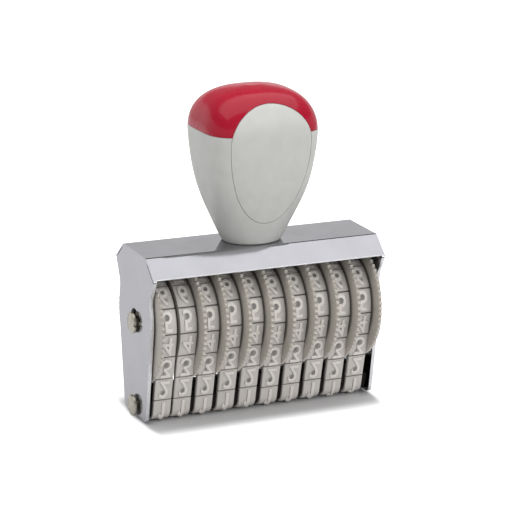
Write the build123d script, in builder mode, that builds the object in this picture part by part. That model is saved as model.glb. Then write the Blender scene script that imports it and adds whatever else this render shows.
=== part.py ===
"""Hand numbering machine with ten digit bands.

Millimetres.  X runs along the row of bands, -Y is the front and +Z points up.  The origin is
on the surface that the print faces rest on, under the middle of the frame.
"""
from build123d import *
import math
import os

os.makedirs("parts", exist_ok=True)

# ---------------------------------------------------------------- frame sheet
frame_length = 70.0
sheet = 1.0
frame_height = 48.2
top_half_depth = 8.7
hood_half_depth = 14.5
hood_drop = 5.0
waist_half_depth = 11.2
waist_drop = 6.6
hip_half_depth = 12.3
hip_rise = 2.0
foot_half_depth = 8.0
foot_height = 0.6
fold_radius = 1.5
end_fold_radius = 0.6
waist_radius = 5.0
hip_radius = 6.0
foot_radius = 1.8
corner_seam = 0.15

# ---------------------------------------------------------------- wheel axle
axle_diameter = 6.0
axle_neck_diameter = 5.2
axle_stand_out = 1.2
axle_chamfer = 0.3
pit_set_in = 0.35
pit_height = 1.3
pit_depth = 0.8
neck_clearance = 0.05
slot_lift = 1.0
slot_diameter = 6.2
running_clearance = 0.05
side_gap = 0.1

# ---------------------------------------------------------------- number wheels
wheel_count = 10
flange_diameter = 34.6
flange_width = 1.3
flange_screw_gap = 0.5
knurl_teeth = 66
knurl_depth = 0.55
hub_wall = 1.6
drum_wall = 1.8
web_width = 1.2
spacer_width = 0.4
spacer_lip = 0.5
end_washer_diameter = 12.0
end_washer_width = 0.5

# ---------------------------------------------------------------- digit bands
band_flange_gap = 0.1
band_thickness = 1.9
band_crown_radius = 13.0
band_foot_half_depth = 8.0
band_foot_radius = 3.8
band_drum_gap = 0.3
cell_count = 15
cell_groove_width = 0.8
cell_groove_depth = 0.5
cell_phase = 6.05

# ---------------------------------------------------------------- bridge and tie rod
bridge_seat_gap = 0.05
bridge_top = 6.0
fin_width = 1.0
fin_side_gap = 0.15
fin_set_back = 1.0
fin_top = 6.5
tie_rod_height = 3.5
tie_rod_diameter = 2.4
tie_rod_clearance = 0.05
rivet_head_diameter = 6.0
rivet_head_height = 1.3
rivet_head_round = 0.9

# ---------------------------------------------------------------- handle
# Cross sections of the grip: height over the top plate, half width, half depth and how
# square the section is (2 is an ellipse).
handle_sections = [
    (0.0, 8.3, 7.2, 2.0),
    (4.5, 10.6, 8.9, 2.2),
    (10.5, 13.1, 11.2, 2.5),
    (16.5, 14.9, 12.8, 3.0),
    (23.0, 15.9, 13.8, 3.5),
    (30.0, 16.5, 14.2, 3.9),
    (35.0, 16.2, 13.8, 3.9),
    (39.1, 14.5, 12.0, 3.5),
    (41.8, 11.6, 9.4, 3.0),
    (43.4, 7.4, 6.0, 2.6),
    (44.1, 2.6, 2.1, 2.2),
]
section_points = 24
handle_foot_round = 0.8
parting_height = 32.4
parting_gap = 0.12
spigot_half_width = 9.0
spigot_half_depth = 5.0
spigot_height = 4.0
spigot_clearance = 0.1
panel_half_width = 11.9
panel_middle = 30.0
panel_rise = 10.6
panel_fall = 23.1
panel_back = 9.0
panel_gap = 0.12
screw_diameter = 4.0
screw_clearance = 0.15
screw_length = 12.0
screw_head_diameter = 7.0
screw_head_height = 1.3
screw_socket_size = 2.5
screw_socket_depth = 0.8
washer_diameter = 8.0
washer_thickness = 0.4
nut_across_flats = 7.0
nut_height = 3.2
nut_lift = 5.0
nut_clearance = 0.05
pip_diameter = 2.0
pip_height = 0.6
pip_spacing = 11.0
pip_clearance = 0.1

# ---------------------------------------------------------------- places worked out from sizes
half_length = frame_length / 2
inner_half = half_length - sheet
hood_foot = frame_height - hood_drop
plate_underside = frame_height - sheet

# The wheels hang just clear of the screw head under the top plate.
head_top = plate_underside - washer_thickness
head_foot = head_top - screw_head_height
axle_height = head_foot - flange_screw_gap - flange_diameter / 2
waist_height = hood_foot - waist_drop
hip_height = axle_height + hip_rise

# The wheels share the length between the cheeks with the spacer, the washer and their gaps.
gap_count = wheel_count + 3
row_gaps = gap_count * side_gap
wheel_width = (2 * inner_half - row_gaps - spacer_width - end_washer_width) / wheel_count
wheel_pitch = wheel_width + side_gap
drum_width = wheel_width - flange_width
band_width = drum_width - band_flange_gap
bore_diameter = axle_diameter + 2 * running_clearance
band_inner_radius = band_crown_radius - band_thickness
drum_radius = band_inner_radius - band_drum_gap
tie_hole_diameter = tie_rod_diameter + 2 * tie_rod_clearance
screw_hole_diameter = screw_diameter + 2 * screw_clearance
parting_level = frame_height + parting_height

# The row starts at the left cheek.  The first wheel has its flange on the left and a thin
# spacer disc on its right; every other wheel has its flange on the right.
first_wheel_left = -inner_half + side_gap
spacer_left = first_wheel_left + wheel_width + side_gap
second_wheel_left = spacer_left + spacer_width + side_gap
wheel_lefts = [first_wheel_left]
wheel_lefts += [second_wheel_left + step * wheel_pitch for step in range(wheel_count - 1)]
flange_lefts = [first_wheel_left] + [left + drum_width for left in wheel_lefts[1:]]
drum_lefts = [first_wheel_left + flange_width] + wheel_lefts[1:]
band_centres = [left + drum_width / 2 for left in drum_lefts]
end_washer_left = wheel_lefts[-1] + wheel_width + side_gap


def side_plane(x):
    """Plane across the machine at x, with its local axes along Y and Z."""
    return Plane(origin=(x, 0, 0), x_dir=(0, 1, 0), z_dir=(1, 0, 0))


def axle_plane(x):
    """The same plane with its origin on the wheel axle."""
    return Plane(origin=(x, 0, axle_height), x_dir=(0, 1, 0), z_dir=(1, 0, 0))


def level(z):
    """Horizontal plane at height z."""
    return Plane.XY.offset(z)


def corners_at(sketch, height):
    """Corners of a sketch that lie at one local height."""
    return sketch.vertices().filter_by(lambda corner: abs(corner.Y - height) < 0.001)


def save(builder, name):
    """Label a finished piece and write it."""
    builder.part.label = name
    export_step(builder.part, f"parts/{name}.step")


# ================================================================ frame
# One sheet: a top plate folded down into two sloping aprons and two cheeks.
def hood_corners(inset, foot):
    """Corners of the hood's section, moved inwards by inset and cut off at height foot."""
    run = hood_half_depth - top_half_depth
    slope = math.atan2(hood_drop, run)
    top = frame_height - inset
    half_top = top_half_depth + inset * run / hood_drop - inset / math.sin(slope)
    half_foot = half_top + (top - foot) * run / hood_drop
    return [(-half_foot, foot), (-half_top, top), (half_top, top), (half_foot, foot)]


def cheek_corners():
    """Corners of a cheek's edge, down the back and up the front."""
    back = [
        (top_half_depth, frame_height),
        (hood_half_depth, hood_foot),
        (waist_half_depth, waist_height),
        (hip_half_depth, hip_height),
        (foot_half_depth, foot_height),
    ]
    front = [(-y, z) for y, z in reversed(back)]
    return back + front


with BuildPart() as frame:
    with BuildSketch(side_plane(-inner_half)) as hood_section:
        Polygon(*hood_corners(0, hood_foot), align=None)
        fillet(corners_at(hood_section, frame_height), fold_radius)
    extrude(amount=2 * inner_half)
    with BuildSketch(side_plane(-inner_half)) as hood_hollow:
        Polygon(*hood_corners(sheet, hood_foot - sheet), align=None)
        fillet(corners_at(hood_hollow, plate_underside), fold_radius - sheet)
    extrude(amount=2 * inner_half, mode=Mode.SUBTRACT)
    for cheek_left in (-half_length, inner_half):
        with BuildSketch(side_plane(cheek_left)) as cheek:
            Polygon(*cheek_corners(), align=None)
            fillet(corners_at(cheek, frame_height), fold_radius)
            fillet(corners_at(cheek, waist_height), waist_radius)
            fillet(corners_at(cheek, hip_height), hip_radius)
            fillet(corners_at(cheek, foot_height), foot_radius)
            with Locations((0, axle_height)):
                Circle(axle_neck_diameter / 2 + neck_clearance, mode=Mode.SUBTRACT)
            with Locations((0, axle_height + slot_lift)):
                Circle(slot_diameter / 2, mode=Mode.SUBTRACT)
            with Locations((0, tie_rod_height)):
                Circle(tie_hole_diameter / 2, mode=Mode.SUBTRACT)
        extrude(amount=sheet)
    end_folds = frame.edges().filter_by(Axis.Y).group_by(Axis.Z)[-1]
    fillet(end_folds, end_fold_radius)
    # open seams where each apron's end meets a cheek
    seam_depth = hood_half_depth - top_half_depth + sheet
    seam_foot = hood_foot - sheet
    seam_top = frame_height - fold_radius
    for seam_x in (-inner_half + corner_seam / 2, inner_half - corner_seam / 2):
        for side in (-1, 1):
            with BuildSketch(level(seam_foot)):
                with Locations((seam_x, side * (top_half_depth + seam_depth / 2))):
                    Rectangle(corner_seam, seam_depth)
            extrude(amount=seam_top - seam_foot, mode=Mode.SUBTRACT)
    # hole for the handle screw and two for the handle's pips
    with BuildSketch(level(plate_underside)):
        Circle(screw_hole_diameter / 2)
        with GridLocations(pip_spacing, 0, 2, 1):
            Circle(pip_diameter / 2 + pip_clearance)
    extrude(amount=sheet, mode=Mode.SUBTRACT)
save(frame, "frame")


# ================================================================ axle, spacer and washer
def ring(left, outer_diameter, inner_diameter=bore_diameter):
    """Flat ring round the axle, at the plane x = left."""
    with BuildSketch(axle_plane(left)) as face:
        Circle(outer_diameter / 2)
        Circle(inner_diameter / 2, mode=Mode.SUBTRACT)
    return face.sketch


with BuildPart() as wheel_axle:
    with BuildSketch(axle_plane(-half_length - axle_stand_out)):
        Circle(axle_diameter / 2)
    extrude(amount=frame_length + 2 * axle_stand_out)
    chamfer(wheel_axle.edges().filter_by(GeomType.CIRCLE), axle_chamfer)
    for neck_left in (-half_length - neck_clearance, inner_half - neck_clearance):
        neck = ring(neck_left, 1.2 * axle_diameter, axle_neck_diameter)
        extrude(neck, amount=sheet + 2 * neck_clearance, mode=Mode.SUBTRACT)
    # a small pit in the front of each end, where the axle is staked
    for pit_left in (-half_length - axle_stand_out + pit_set_in, half_length):
        with BuildSketch(axle_plane(pit_left)):
            with Locations((-axle_diameter / 2, 0)):
                Rectangle(2 * pit_depth, pit_height)
        extrude(amount=axle_stand_out - pit_set_in, mode=Mode.SUBTRACT)
save(wheel_axle, "wheel_axle")

with BuildPart() as spacer_disc:
    extrude(ring(spacer_left, 2 * (band_crown_radius + spacer_lip)), amount=spacer_width)
save(spacer_disc, "spacer_disc")

with BuildPart() as end_washer:
    extrude(ring(end_washer_left, end_washer_diameter), amount=end_washer_width)
save(end_washer, "end_washer")


# ================================================================ number wheels
def knurled_outline():
    """Tips and roots of the thumb teeth, in turn, round the flange."""
    tip = flange_diameter / 2
    points = []
    for tooth in range(knurl_teeth):
        for radius, part in ((tip, 0.0), (tip - knurl_depth, 0.5)):
            angle = 2 * math.pi * (tooth + part) / knurl_teeth
            points.append((radius * math.cos(angle), radius * math.sin(angle)))
    return points


for index in range(wheel_count):
    flange_is_left = index == 0
    pocket_left = drum_lefts[index] + (web_width if flange_is_left else 0)
    with BuildPart() as number_wheel:
        with BuildSketch(axle_plane(flange_lefts[index])):
            Polygon(*knurled_outline(), align=None)
            Circle(bore_diameter / 2, mode=Mode.SUBTRACT)
        extrude(amount=flange_width)
        extrude(ring(drum_lefts[index], 2 * drum_radius), amount=drum_width)
        pocket = ring(pocket_left, 2 * (drum_radius - drum_wall), bore_diameter + 2 * hub_wall)
        extrude(pocket, amount=drum_width - web_width, mode=Mode.SUBTRACT)
    save(number_wheel, f"number_wheel_{index + 1:02d}")


# ================================================================ digit bands
def band_loop(inset):
    """Closed line of a band's side, inset from its print face, from the foot's middle up the front."""
    crown = band_crown_radius - inset
    corner = band_foot_radius - inset
    centre_y = band_foot_half_depth - band_foot_radius
    lift = axle_height - band_foot_radius
    spread = math.hypot(centre_y, lift)
    lean = math.asin((band_crown_radius - band_foot_radius) / spread)
    normal = math.atan2(lift, centre_y) + math.pi / 2 + lean
    middle = (normal + 3 * math.pi / 2) / 2

    def on_circle(centre, radius, angle):
        return (centre[0] + radius * math.cos(angle), centre[1] + radius * math.sin(angle))

    def across(point):
        return (-point[0], point[1])

    axle = (0, axle_height)
    front = (-centre_y, band_foot_radius)
    crown_front = on_circle(axle, crown, normal)
    corner_top = on_circle(front, corner, normal)
    corner_middle = on_circle(front, corner, middle)
    corner_end = (front[0], inset)
    with BuildLine() as loop:
        Line((0, inset), corner_end)
        ThreePointArc(corner_end, corner_middle, corner_top)
        Line(corner_top, crown_front)
        ThreePointArc(crown_front, (0, axle_height + crown), across(crown_front))
        Line(across(crown_front), across(corner_top))
        ThreePointArc(across(corner_top), across(corner_middle), across(corner_end))
        Line(across(corner_end), (0, inset))
    return loop.wire()


print_loop = band_loop(0)
inner_loop = band_loop(band_thickness)
cell_pitch = print_loop.length / cell_count

for index in range(wheel_count):
    with BuildPart() as digit_band:
        with BuildSketch(side_plane(band_centres[index] - band_width / 2)):
            make_face(print_loop.edges())
            make_face(inner_loop.edges(), mode=Mode.SUBTRACT)
            for cell in range(cell_count):
                along = (cell_phase + cell * cell_pitch) / print_loop.length % 1
                spot = print_loop.position_at(along)
                heading = print_loop.tangent_at(along)
                turn = math.degrees(math.atan2(heading.Y, heading.X))
                with Locations(Location((spot.X, spot.Y, 0), (0, 0, turn))):
                    Rectangle(cell_groove_width, 2 * cell_groove_depth, mode=Mode.SUBTRACT)
        extrude(amount=band_width)
    save(digit_band, f"digit_band_{index + 1:02d}")

# ================================================================ bridge
# A bar under the loops' feet, with fins that keep the bands apart.
seat_loop = band_loop(band_thickness + bridge_seat_gap)
fin_loop = band_loop(fin_set_back)


def foot_of(loop, left, top):
    """The part of a loop's area below height top, at the plane x = left."""
    span = 4 * band_crown_radius
    with BuildSketch(side_plane(left)) as face:
        make_face(loop.edges())
        with Locations((0, top)):
            Rectangle(span, top, align=(Align.CENTER, Align.MAX), mode=Mode.INTERSECT)
    return face.sketch


def fin_spans():
    """Left side and width of the fin in each gap beside the bands."""
    lefts = [centre - band_width / 2 for centre in band_centres] + [inner_half]
    rights = [-inner_half] + [centre + band_width / 2 for centre in band_centres]
    spans = []
    for gap_left, gap_right in zip(rights, lefts):
        width = min(fin_width, gap_right - gap_left - 2 * fin_side_gap)
        spans.append(((gap_left + gap_right - width) / 2, width))
    return spans


with BuildPart() as bridge:
    extrude(foot_of(seat_loop, -inner_half, bridge_top), amount=2 * inner_half)
    for fin_left, width in fin_spans():
        extrude(foot_of(fin_loop, fin_left, fin_top), amount=width)
    with BuildSketch(side_plane(-inner_half)):
        with Locations((0, tie_rod_height)):
            Circle(tie_hole_diameter / 2)
    extrude(amount=2 * inner_half, mode=Mode.SUBTRACT)
save(bridge, "bridge")

# ================================================================ tie rod
with BuildPart() as tie_rod:
    with BuildSketch(side_plane(-half_length)):
        with Locations((0, tie_rod_height)):
            Circle(tie_rod_diameter / 2)
    extrude(amount=frame_length)
    for head_left in (-half_length - rivet_head_height, half_length):
        with BuildSketch(side_plane(head_left)):
            with Locations((0, tie_rod_height)):
                Circle(rivet_head_diameter / 2)
        extrude(amount=rivet_head_height)
    head_edges = tie_rod.edges().filter_by(GeomType.CIRCLE).group_by(Axis.X)
    fillet(head_edges[0] + head_edges[-1], rivet_head_round)
save(tie_rod, "tie_rod")


# ================================================================ handle
def section_outline(half_width, half_depth, squareness):
    """Points of one rounded cross section of the grip."""
    points = []
    for step in range(section_points):
        x = math.cos(2 * math.pi * step / section_points)
        y = math.sin(2 * math.pi * step / section_points)
        reach = (abs(x) ** squareness + abs(y) ** squareness) ** (-1 / squareness)
        points.append((half_width * reach * x, half_depth * reach * y))
    return points


with BuildPart() as grip:
    for height, half_width, half_depth, squareness in handle_sections:
        with BuildSketch(level(frame_height + height)):
            with BuildLine():
                Spline(*section_outline(half_width, half_depth, squareness), periodic=True)
            make_face()
    loft()


def panel_outline(side, growth):
    """Egg-shaped outline of the front (side -1) or back (side 1) panel, on its seat."""
    width = panel_half_width + growth
    centre = (0, frame_height + panel_middle)
    with BuildSketch(Plane.XZ.offset(-side * (panel_back - growth))) as face:
        with BuildLine():
            EllipticalCenterArc(centre, width, panel_rise + growth, start_angle=0, arc_size=180)
            EllipticalCenterArc(centre, width, panel_fall + growth, start_angle=180, arc_size=180)
        make_face()
    return face.sketch


panel_reach = 2 * max(half_depth for _, _, half_depth, _ in handle_sections)

with BuildPart() as handle_body:
    add(grip.part)
    split(bisect_by=Plane.XY.offset(parting_level), keep=Keep.BOTTOM)
    foot_edges = handle_body.edges().group_by(Axis.Z)[0]
    fillet(foot_edges, handle_foot_round)
    for side in (-1, 1):
        extrude(panel_outline(side, panel_gap), amount=-side * panel_reach, mode=Mode.SUBTRACT)
    # recess for the cap's spigot
    with BuildSketch(level(parting_level)):
        Ellipse(spigot_half_width + spigot_clearance, spigot_half_depth + spigot_clearance)
    extrude(amount=-(spigot_height + spigot_clearance), mode=Mode.SUBTRACT)
    # screw hole and captive nut
    with BuildSketch(level(frame_height)):
        Circle(screw_hole_diameter / 2)
    extrude(amount=screw_length, mode=Mode.SUBTRACT)
    with BuildSketch(level(frame_height + nut_lift - nut_clearance)):
        RegularPolygon(nut_across_flats / 2 + nut_clearance, 6, major_radius=False)
    extrude(amount=nut_height + 2 * nut_clearance, mode=Mode.SUBTRACT)
    # pips that stop the handle turning on the top plate
    with BuildSketch(level(frame_height)):
        with GridLocations(pip_spacing, 0, 2, 1):
            Circle(pip_diameter / 2)
    extrude(amount=-pip_height)
save(handle_body, "handle_body")

with BuildPart() as handle_cap:
    add(grip.part)
    split(bisect_by=Plane.XY.offset(parting_level + parting_gap), keep=Keep.TOP)
    for side in (-1, 1):
        extrude(panel_outline(side, panel_gap), amount=-side * panel_reach, mode=Mode.SUBTRACT)
    with BuildSketch(level(parting_level + parting_gap)):
        Ellipse(spigot_half_width, spigot_half_depth)
    extrude(amount=-(spigot_height + parting_gap))
save(handle_cap, "handle_cap")

for side, name in ((-1, "front_panel"), (1, "back_panel")):
    with BuildPart() as handle_panel:
        add(grip.part)
        extrude(panel_outline(side, 0), amount=-side * panel_reach, mode=Mode.INTERSECT)
    save(handle_panel, name)

with BuildPart() as handle_nut:
    with BuildSketch(level(frame_height + nut_lift)):
        RegularPolygon(nut_across_flats / 2, 6, major_radius=False)
        Circle(screw_diameter / 2 + nut_clearance, mode=Mode.SUBTRACT)
    extrude(amount=nut_height)
save(handle_nut, "handle_nut")

with BuildPart() as handle_screw:
    with BuildSketch(level(head_top)):
        Circle(screw_diameter / 2)
    extrude(amount=screw_length - 1)
    with BuildSketch(level(head_top)):
        Circle(screw_head_diameter / 2)
    extrude(amount=-screw_head_height)
    with BuildSketch(level(head_foot)):
        RegularPolygon(screw_socket_size / 2, 6, major_radius=False)
    extrude(amount=screw_socket_depth, mode=Mode.SUBTRACT)
save(handle_screw, "handle_screw")

with BuildPart() as screw_washer:
    with BuildSketch(level(head_top)):
        Circle(washer_diameter / 2)
        Circle(screw_hole_diameter / 2, mode=Mode.SUBTRACT)
    extrude(amount=washer_thickness)
save(screw_washer, "screw_washer")
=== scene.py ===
"""Looks of a hand numbering machine with ten digit bands.

Metres.  X runs along the row of bands, -Y is the front and +Z points up through the grip.
"""

import math

import bmesh
import bpy
from bpy.props import FloatProperty, FloatVectorProperty, IntProperty, PointerProperty
from mathutils import Matrix, Vector


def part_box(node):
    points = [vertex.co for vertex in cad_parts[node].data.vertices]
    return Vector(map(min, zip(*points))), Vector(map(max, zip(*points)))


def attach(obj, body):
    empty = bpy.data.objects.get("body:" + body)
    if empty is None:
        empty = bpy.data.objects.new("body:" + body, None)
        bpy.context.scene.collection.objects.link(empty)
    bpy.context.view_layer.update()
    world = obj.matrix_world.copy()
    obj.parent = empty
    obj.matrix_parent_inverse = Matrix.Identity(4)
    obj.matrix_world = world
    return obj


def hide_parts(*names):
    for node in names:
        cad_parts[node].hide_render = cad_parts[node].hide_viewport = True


bl_info = {
    "name": "Numbering machine",
    "version": (1, 0, 0),
    "blender": (4, 5, 0),
    "location": "View3D > Sidebar > Numberer",
    "description": "Builds the visible pieces of a ten band numbering machine",
    "category": "Add Mesh",
}

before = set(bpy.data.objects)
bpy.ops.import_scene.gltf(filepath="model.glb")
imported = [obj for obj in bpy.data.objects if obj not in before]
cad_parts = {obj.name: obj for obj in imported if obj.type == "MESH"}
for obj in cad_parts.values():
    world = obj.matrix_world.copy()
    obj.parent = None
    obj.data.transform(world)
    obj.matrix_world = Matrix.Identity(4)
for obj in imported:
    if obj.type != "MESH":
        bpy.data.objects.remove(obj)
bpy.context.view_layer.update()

MM = 0.001
MACHINE = "machine"
FULL_TURN = 2 * math.pi

# distances under which points count as one, or as lying on a plane
WELD = 1e-7
NEAR = 1e-6


# ------------ sizes and colours
def length(name, description, millimetres):
    """A length property whose default is given in millimetres."""
    return FloatProperty(
        name=name, description=description, default=millimetres * MM, precision=5,
        subtype="DISTANCE", unit="LENGTH",
    )


def colour(name, description, *channels):
    """A colour property, in linear values."""
    return FloatVectorProperty(
        name=name, description=description, default=channels, size=3, min=0.0, max=1.0,
        subtype="COLOR",
    )


class NumbererSheetSizes(bpy.types.PropertyGroup):
    """Sizes of the folded sheet frame."""

    thickness: length("Sheet", "Thickness of the folded sheet", 1.0)
    top_half_depth: length("Top half depth", "Half the depth of the top plate", 8.7)
    hood_drop: length("Hood drop", "Height of the sloping aprons", 5.0)
    waist_half_depth: length("Waist half depth", "Half the cheek's depth under the hood", 11.2)
    waist_height: length("Waist height", "Height of the waist", 36.6)
    hip_half_depth: length("Hip half depth", "Half the cheek's depth at the axle", 12.3)
    hip_height: length("Hip height", "Height of the widest part under the hood", 29.7)
    foot_half_depth: length("Foot half depth", "Half the cheek's depth at its foot", 8.0)
    fold_radius: length("Fold radius", "Outer radius of the long folds", 1.5)
    end_fold_radius: length("End fold radius", "Outer radius of the folds over the cheeks", 0.6)
    waist_radius: length("Waist radius", "Rounding of the waist", 5.0)
    hip_radius: length("Hip radius", "Rounding of the hip", 6.0)
    foot_radius: length("Foot radius", "Rounding of the cheek's lower corners", 1.8)
    seam: length("Seam", "Open seam between an apron and a cheek", 0.25)
    foot_roll: length("Foot roll", "Rounding of the aprons' lower edges", 0.55)
    edge_break: length("Edge break", "Rounding of the sheet's cut edges", 0.12)


class NumbererWheelSizes(bpy.types.PropertyGroup):
    """Sizes of a number wheel."""

    flange_width: length("Flange width", "Width of the knurled flange", 1.3)
    teeth: IntProperty(name="Teeth", description="Thumb teeth round the flange", default=66)
    tooth_depth: length("Tooth depth", "Depth of a thumb tooth", 0.75)
    tooth_chamfer: length("Tooth chamfer", "Chamfer at both ends of a tooth", 0.25)
    drum_radius: length("Drum radius", "Radius of the drum that carries the band", 10.8)
    drum_wall: length("Drum wall", "Thickness of the drum's wall", 1.8)
    web_width: length("Web", "Thickness of the web between hub and drum", 1.2)
    hub_radius: length("Hub radius", "Radius of the hub", 4.65)
    bore_radius: length("Bore radius", "Radius of the bore", 3.05)


class NumbererBandSizes(bpy.types.PropertyGroup):
    """Sizes of a digit band."""

    width: length("Width", "Width of a band", 5.18)
    thickness: length("Thickness", "Thickness from the inner face to the print faces", 1.9)
    relief: length("Relief", "Height of the digits over their pads", 0.42)
    groove: length("Groove", "Depth of the grooves between the pads", 0.45)
    neutral: length("Neutral line", "Depth of the line that keeps its length in the bends", 1.28)
    crown_radius: length("Crown radius", "Radius of the print faces over the wheel", 13.0)
    foot_half_depth: length("Foot half depth", "Half the depth of the loop's foot", 8.0)
    foot_radius: length("Foot radius", "Radius of the loop's lower corners", 3.8)
    first_groove: length("First groove", "Way up the front to the first groove", 4.66)
    digit_height: length("Digit height", "Height of a digit", 5.3)
    digit_width: length("Digit width", "Width of a digit", 2.9)


class NumbererColours(bpy.types.PropertyGroup):
    """Colours of the finishes."""

    chrome: colour("Chrome", "Plated sheet", 0.45, 0.45, 0.48)
    # lighter than the chrome: a painted highlight on the cut edges and the aprons' rolled feet
    cut_edge_glint_tone: colour("Sheared edges", "Cut edges of the sheet", 0.85, 0.85, 0.87)
    nickel: colour("Nickel", "Axle and tie rod", 0.50, 0.47, 0.40)
    wheel: colour("Wheels", "Moulded wheels", 0.46, 0.43, 0.385)
    band: colour("Bands", "Rubber bands", 0.63, 0.60, 0.565)
    disc: colour("Disc", "Separator between the first two bands", 0.10, 0.09, 0.08)
    bridge: colour("Bridge", "Bridge under the loops", 0.012, 0.010, 0.009)
    grip: colour("Grip", "Light part of the grip", 0.60, 0.605, 0.575)
    cap: colour("Cap", "Red cap of the grip", 0.41, 0.003, 0.024)
    brass: colour("Brass", "Captive nut", 0.62, 0.44, 0.18)
    floor: colour("Floor", "Floor under the machine", 0.52, 0.52, 0.525)


# ------------ shader parts
def set_inputs(node, values):
    """Set a node's inputs, whose names have underscores for spaces."""
    for name, value in values.items():
        node.inputs[name.replace("_", " ")].default_value = value


def tone_ramp(tree, fac, stops):
    """Colour ramp through two or more stops of (position, tone)."""
    ramp = tree.nodes.new("ShaderNodeValToRGB")
    elements = ramp.color_ramp.elements
    for index in (0, -1):
        elements[index].position, elements[index].color = stops[index][0], (*stops[index][1], 1.0)
    for position, tone in stops[1:-1]:
        elements.new(position).color = (*tone, 1.0)
    tree.links.new(fac, ramp.inputs["Fac"])
    return ramp.outputs["Color"]


def colour_mix(tree, factor, first, second, way="MIX"):
    """Mix of two colours; the factor and the colours are plain values or a node's outputs."""
    mix = tree.nodes.new("ShaderNodeMix")
    mix.data_type = "RGBA"
    mix.blend_type = way
    for name, source in (("Factor", factor), ("A", first), ("B", second)):
        if isinstance(source, bpy.types.NodeSocket):
            tree.links.new(source, mix.inputs[name])
        else:
            mix.inputs[name].default_value = source if name == "Factor" else (*source, 1.0)
    return mix.outputs["Result"]


def grey(tone):
    """A colour with the same value in each channel."""
    return (tone,) * 3


def shaded(tone, share):
    """A colour made darker or lighter by a share."""
    return tuple(min(1.0, channel * share) for channel in tone)


def shader_group(name, inputs, outputs):
    """New shader group, its given and wanted sockets, and the object's own coordinates."""
    group = bpy.data.node_groups.new(name, "ShaderNodeTree")
    add = group.interface.new_socket
    for socket, value in inputs.items():
        add(name=socket, in_out="INPUT", socket_type="NodeSocketFloat").default_value = value
    for socket in outputs:
        add(name=socket, in_out="OUTPUT", socket_type="NodeSocketFloat")
    given = group.nodes.new("NodeGroupInput").outputs
    wanted = group.nodes.new("NodeGroupOutput").inputs
    place = group.nodes.new("ShaderNodeTexCoord").outputs["Object"]
    return group, given, wanted, place


def noise_in_group(group, vector, scale, detail, roughness):
    """Noise texture whose scale comes from a socket."""
    noise = group.nodes.new("ShaderNodeTexNoise")
    set_inputs(noise, {"Detail": detail, "Roughness": roughness})
    group.links.new(vector, noise.inputs["Vector"])
    group.links.new(scale, noise.inputs["Scale"])
    return noise.outputs["Fac"]


def smudge_group():
    """Soft patches from handling, as a mask from 0 to 1."""
    name = "handling_smudges"
    if name in bpy.data.node_groups:
        return bpy.data.node_groups[name]
    group, given, wanted, place = shader_group(name, {"Scale": 120.0, "Spread": 0.5}, ("Mask",))
    ranged = group.nodes.new("ShaderNodeMapRange")
    ranged.interpolation_type = "SMOOTHSTEP"
    set_inputs(ranged, {"From_Min": 0.35, "From_Max": 0.7})
    fac = noise_in_group(group, place, given["Scale"], 4.0, 0.6)
    group.links.new(fac, ranged.inputs["Value"])
    scaled = group.nodes.new("ShaderNodeMath")
    scaled.operation = "MULTIPLY"
    group.links.new(ranged.outputs["Result"], scaled.inputs[0])
    group.links.new(given["Spread"], scaled.inputs[1])
    group.links.new(scaled.outputs["Value"], wanted["Mask"])
    return group


def grain_group():
    """Fine moulded or cast grain, as a height and a mottled mask."""
    name = "moulded_grain"
    if name in bpy.data.node_groups:
        return bpy.data.node_groups[name]
    scales = {"Scale": 2500.0, "Mottle Scale": 300.0}
    group, given, wanted, place = shader_group(name, scales, ("Height", "Mottle"))
    fine = noise_in_group(group, place, given["Scale"], 2.0, 0.5)
    coarse = noise_in_group(group, place, given["Mottle Scale"], 5.0, 0.65)
    group.links.new(fine, wanted["Height"])
    group.links.new(coarse, wanted["Mottle"])
    return group


class Finish:
    """A material under construction, with one Principled shader."""

    def __init__(self, name, **values):
        self.material = bpy.data.materials.new(name)
        self.material.use_nodes = True
        self.tree = self.material.node_tree
        self.shader = self.tree.nodes["Principled BSDF"]
        set_inputs(self.shader, values)

    def node(self, kind, **values):
        """New node with its inputs set."""
        made = self.tree.nodes.new(kind)
        set_inputs(made, values)
        return made

    def group(self, tree, **values):
        """The outputs of one of the shared groups, with its inputs set."""
        made = self.node("ShaderNodeGroup")
        made.node_tree = tree
        set_inputs(made, values)
        return made.outputs

    def smudges(self, scale, spread=1.0):
        """Mask of the handling smudges."""
        return self.group(smudge_group(), Scale=scale, Spread=spread)["Mask"]

    def grain(self, scale, mottle_scale):
        """Height of the fine grain, and the mask of the mottle."""
        made = self.group(grain_group(), Scale=scale, Mottle_Scale=mottle_scale)
        return made["Height"], made["Mottle"]

    def link(self, source, target):
        """Join an output to another node's input."""
        self.tree.links.new(source, target)

    def feed(self, name, source):
        """Join an output to one of the shader's inputs."""
        self.link(source, self.shader.inputs[name])

    def blend(self, mask, first, second):
        """Colour that goes from first to second with a mask."""
        return colour_mix(self.tree, mask, first, second)

    def ranged(self, mask, low, high):
        """Value that goes from low to high with a mask."""
        ranged = self.node("ShaderNodeMapRange", To_Min=low, To_Max=high)
        self.link(mask, ranged.inputs["Value"])
        return ranged.outputs["Result"]

    def bump(self, height, strength, distance, before=None):
        """Bump from a height, on top of an earlier one."""
        bump = self.node("ShaderNodeBump", Strength=strength, Distance=distance)
        self.link(height, bump.inputs["Height"])
        if before:
            self.link(before, bump.inputs["Normal"])
        self.feed("Normal", bump.outputs["Normal"])
        return bump.outputs["Normal"]


# ------------ materials
# tone of a band as a share of its colour, from the grooves' floor over the pads to the digits:
# painted shade in the grooves and at the digits' feet, partly dirt, and a painted highlight on the
# digits' tops
BAND_TONES = ((0.0, 0.3), (0.36, 1.08), (0.9, 1.4))
# tone of a wheel as a share of its colour, 0 at the drum, 1 on the teeth: painted shade deep
# between the bands, painted highlight on the teeth
WHEEL_TONES = ((0.0, 0.12), (0.36, 0.25), (0.46, 1.0), (0.8, 1.25), (1.0, 1.5))
MOTTLE_TONE = 0.88
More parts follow.
